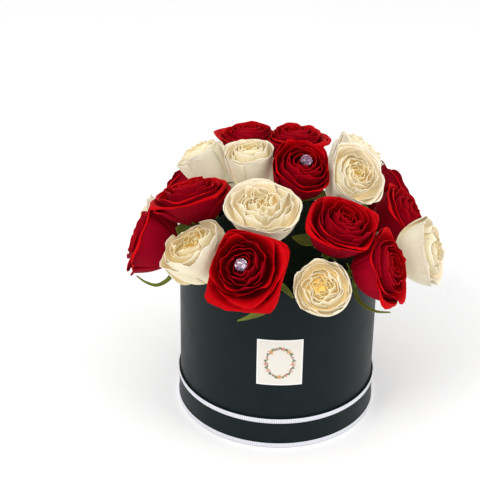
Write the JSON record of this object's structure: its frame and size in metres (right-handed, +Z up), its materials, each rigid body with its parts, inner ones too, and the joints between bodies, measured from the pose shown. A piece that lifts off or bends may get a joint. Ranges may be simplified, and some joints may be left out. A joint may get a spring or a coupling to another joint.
{
  "type": "flower hat box",
  "caption": "Round black hat box standing in its upturned lid, filled with a dome of red and cream roses, two with crystal pins.",
  "frame": {"origin": "middle of the lid panel's lower face, where the box stands", "axes": "+Z up; -Y is the front with the label; +X is to the right seen from the front"},
  "size_m": [0.3071, 0.3011, 0.292],
  "materials": {
    "black_card": "satin near-black slate paper over greyboard",
    "silver_ribbon": "pale silver ribbed ribbon, soft sheen",
    "label_paper": "off-white matte paper with small printed flowers",
    "liner_film": "thin waterproof liner",
    "floral_foam": "dark green wet floral foam",
    "red_petal": "velvety deep red rose petal",
    "cream_petal": "soft cream rose petal with a yellow-peach heart",
    "rose_green": "green stem, hip, sepals and leaves",
    "crystal": "clear faceted crystal with a pale lilac tint"
  },
  "bodies": {
    "root": {"box_wall": "black_card", "box_floor": "black_card", "lid_rim": "black_card", "lid_panel": "black_card", "trim_upper": "silver_ribbon", "trim_lower": "silver_ribbon", "label": "label_paper", "liner": "liner_film", "foam": "floral_foam", "red_rose_1_petals": "red_petal", "red_rose_1_stem": "rose_green", "red_rose_2_petals": "red_petal", "red_rose_2_stem": "rose_green", "red_rose_3_petals": "red_petal", "red_rose_3_stem": "rose_green", "red_rose_4_petals": "red_petal", "red_rose_4_stem": "rose_green", "red_rose_5_petals": "red_petal", "red_rose_5_stem": "rose_green", "red_rose_6_petals": "red_petal", "red_rose_6_stem": "rose_green", "red_rose_7_petals": "red_petal", "red_rose_7_stem": "rose_green", "red_rose_8_petals": "red_petal", "red_rose_8_stem": "rose_green", "red_rose_9_petals": "red_petal", "red_rose_9_stem": "rose_green", "red_rose_10_petals": "red_petal", "red_rose_10_stem": "rose_green", "red_rose_11_petals": "red_petal", "red_rose_11_stem": "rose_green", "red_rose_12_petals": "red_petal", "red_rose_12_stem": "rose_green", "cream_rose_1_petals": "cream_petal", "cream_rose_1_stem": "rose_green", "cream_rose_2_petals": "cream_petal", "cream_rose_2_stem": "rose_green", "cream_rose_3_petals": "cream_petal", "cream_rose_3_stem": "rose_green", "cream_rose_4_petals": "cream_petal", "cream_rose_4_stem": "rose_green", "cream_rose_5_petals": "cream_petal", "cream_rose_5_stem": "rose_green", "cream_rose_6_petals": "cream_petal", "cream_rose_6_stem": "rose_green", "cream_rose_7_petals": "cream_petal", "cream_rose_7_stem": "rose_green", "cream_rose_8_petals": "cream_petal", "cream_rose_8_stem": "rose_green", "cream_rose_9_petals": "cream_petal", "cream_rose_9_stem": "rose_green", "cream_rose_10_petals": "cream_petal", "cream_rose_10_stem": "rose_green", "cream_rose_11_petals": "cream_petal", "cream_rose_11_stem": "rose_green", "cream_rose_12_petals": "cream_petal", "cream_rose_12_stem": "rose_green", "crystal_pin_1": "crystal", "crystal_pin_2": "crystal"}
  },
  "joints": []
}
